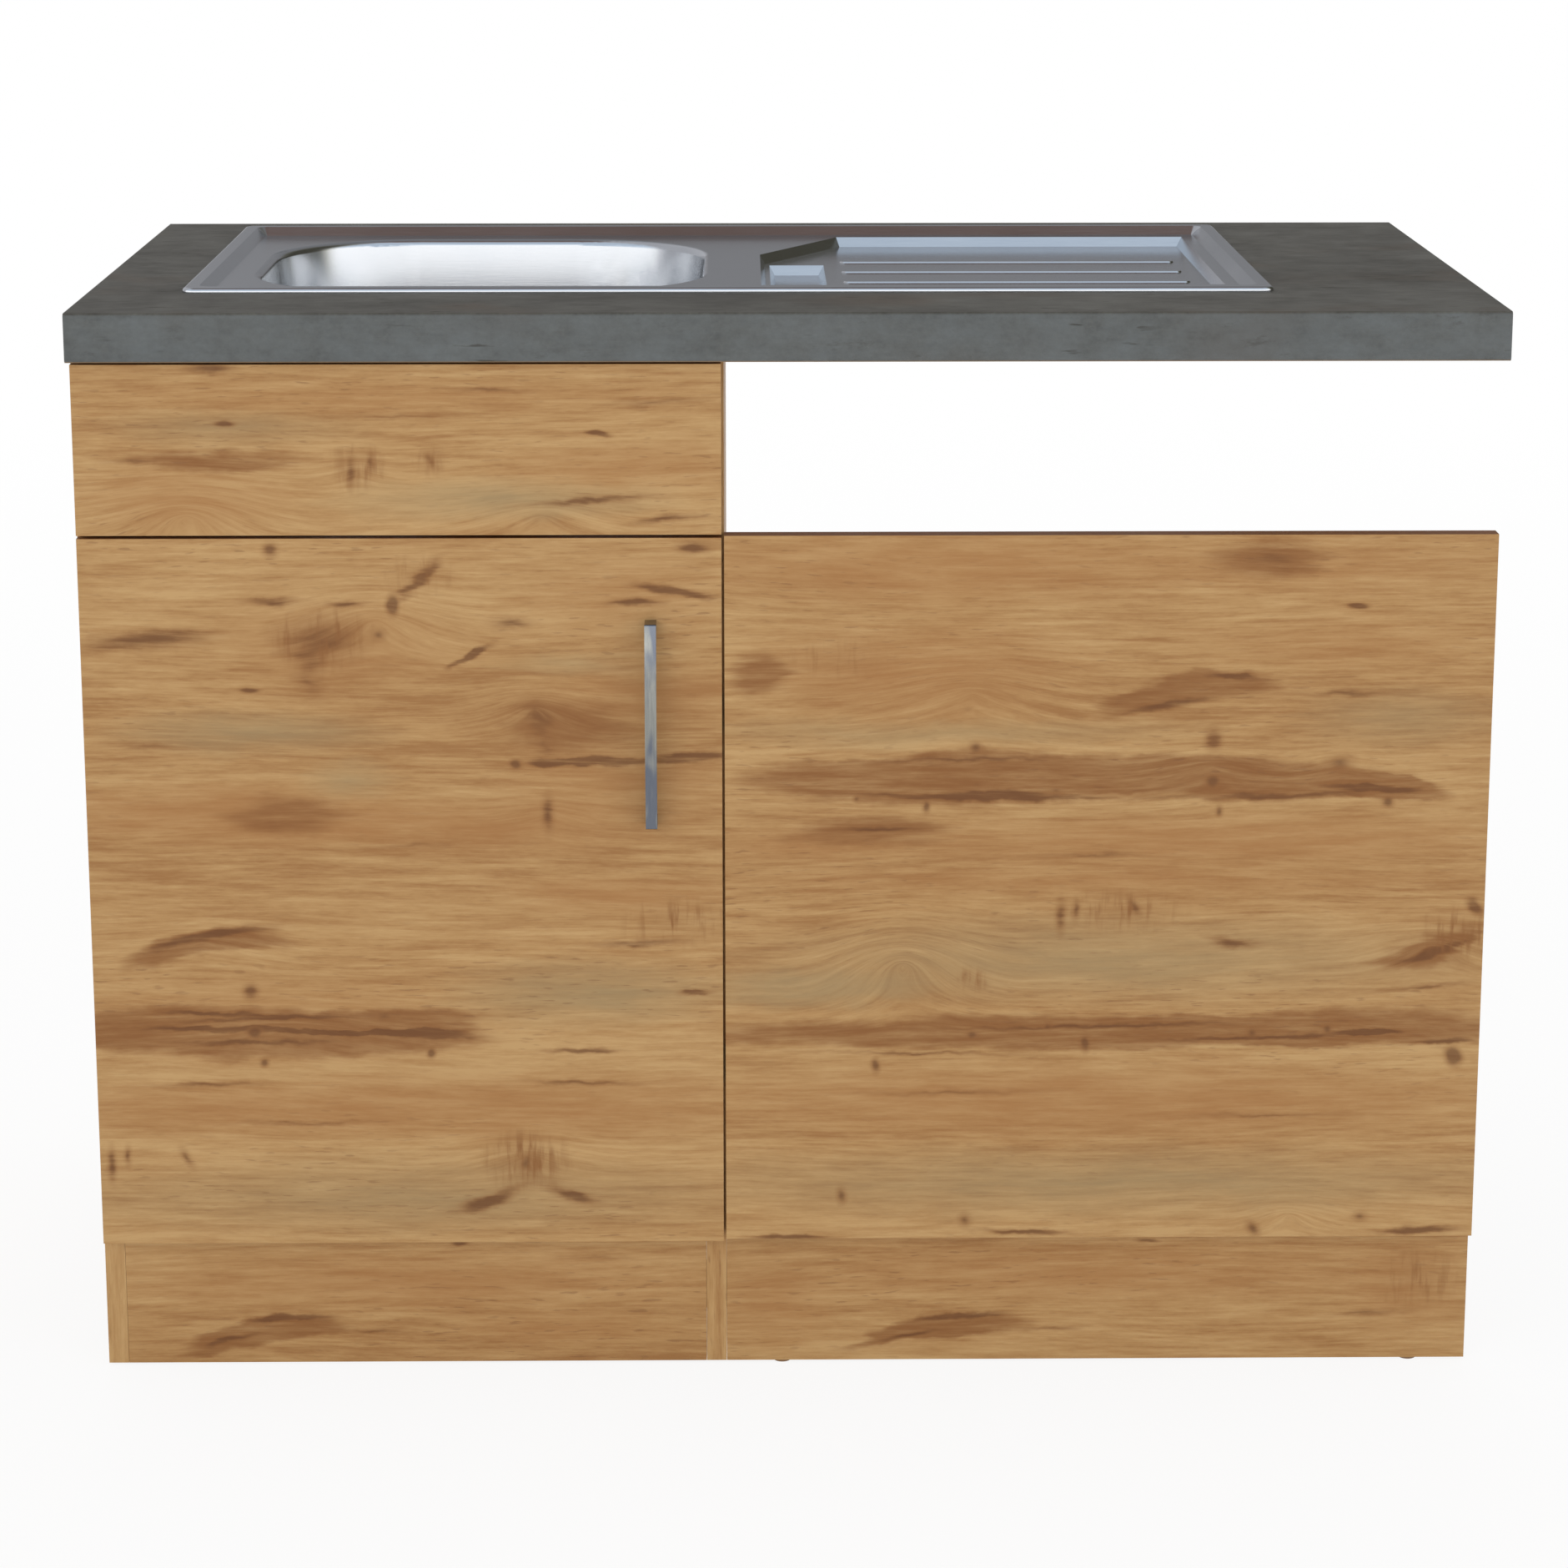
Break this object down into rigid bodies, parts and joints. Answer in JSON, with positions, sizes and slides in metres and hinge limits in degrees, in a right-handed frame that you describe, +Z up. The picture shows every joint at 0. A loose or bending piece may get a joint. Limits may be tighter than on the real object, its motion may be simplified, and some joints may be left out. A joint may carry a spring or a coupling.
{
  "type": "kitchen sink unit",
  "caption": "Kitchen sink unit: sink cabinet with hinged door, worktop over a dishwasher place with its own front, inset steel sink with bowl, ribbed drainer, strainer and trap.",
  "frame": {"origin": "on the floor, at the middle of the overall outline in plan", "axes": "+X to the right seen from the front, +Y towards the wall, +Z up"},
  "size_m": [1.1, 0.615, 0.864],
  "materials": {
    "oak_laminate": "knotty oak look laminate, satin",
    "slate_laminate": "slate look laminate, matt",
    "back_board": "pale lacquered hardboard",
    "sink_steel": "brushed stainless sheet",
    "handle_steel": "satin stainless",
    "zinc_steel": "zinc plated",
    "cap_plastic": "oak coloured",
    "glide_plastic": "moulded",
    "bumper_rubber": "clear soft",
    "seal_rubber": "matt black",
    "drain_plastic": "white moulded"
  },
  "bodies": {
    "unit": {"back_panel": "back_board", "bottom_panel": "oak_laminate", "bracket_screws": "zinc_steel", "carcass_screws": "zinc_steel", "clip_screws": "zinc_steel", "dishwasher_brackets": "zinc_steel", "dishwasher_front": "oak_laminate", "end_trim_left": "slate_laminate", "end_trim_right": "slate_laminate", "fixed_front": "oak_laminate", "fixed_front_brackets": "zinc_steel", "front_rail": "oak_laminate", "hinge_arm_lower": "zinc_steel", "hinge_arm_upper": "zinc_steel", "hinge_plate_lower": "zinc_steel", "hinge_plate_upper": "zinc_steel", "overflow_elbow": "drain_plastic", "overflow_grille": "sink_steel", "overflow_pipe": "drain_plastic", "panel_glides": "glide_plastic", "plate_screws": "zinc_steel", "plinth_brackets": "zinc_steel", "plinth_left": "oak_laminate", "plinth_right": "oak_laminate", "rear_rail": "oak_laminate", "screw_caps": "cap_plastic", "side_panel_left": "oak_laminate", "side_panel_right": "oak_laminate", "sink_clips": "zinc_steel", "sink_seal": "seal_rubber", "sink_shell": "sink_steel", "tail_pipe": "drain_plastic", "trap_body": "drain_plastic", "trap_cup": "drain_plastic", "trap_outlet": "drain_plastic", "union_nuts": "drain_plastic", "waste_body": "drain_plastic", "waste_flange": "sink_steel", "waste_gasket": "seal_rubber", "waste_screw": "zinc_steel", "worktop": "slate_laminate", "worktop_brackets": "zinc_steel", "worktop_screws": "zinc_steel"},
    "door": {"door_panel": "oak_laminate", "door_handle": "handle_steel", "handle_screws": "zinc_steel", "door_bumpers": "bumper_rubber", "hinge_cup_lower": "zinc_steel", "hinge_cup_upper": "zinc_steel", "cup_screws": "zinc_steel"},
    "hinge_links": {"hinge_link_lower": "zinc_steel", "hinge_link_upper": "zinc_steel"},
    "strainer": {"strainer_basket": "sink_steel", "basket_seal": "seal_rubber"}
  },
  "joints": [
    {"name": "door_hinge", "type": "hinge", "parent": "unit", "child": "door", "pos_m": [-0.548, -0.2825, 0.39775], "axis": [0, 0, -1], "range_deg": [0, 105]},
    {"name": "link_swing", "type": "hinge", "parent": "unit", "child": "hinge_links", "pos_m": [-0.5311, -0.2695, 0.39775], "axis": [0, 0, -1], "range_deg": [0, 76]},
    {"name": "strainer_lift", "type": "slide", "parent": "unit", "child": "strainer", "axis": [0, 0, 1], "range_m": [0, 0.12]}
  ],
  "couplings": [
    {"joint": "link_swing", "follows": "door_hinge", "ratio": 0.72}
  ]
}
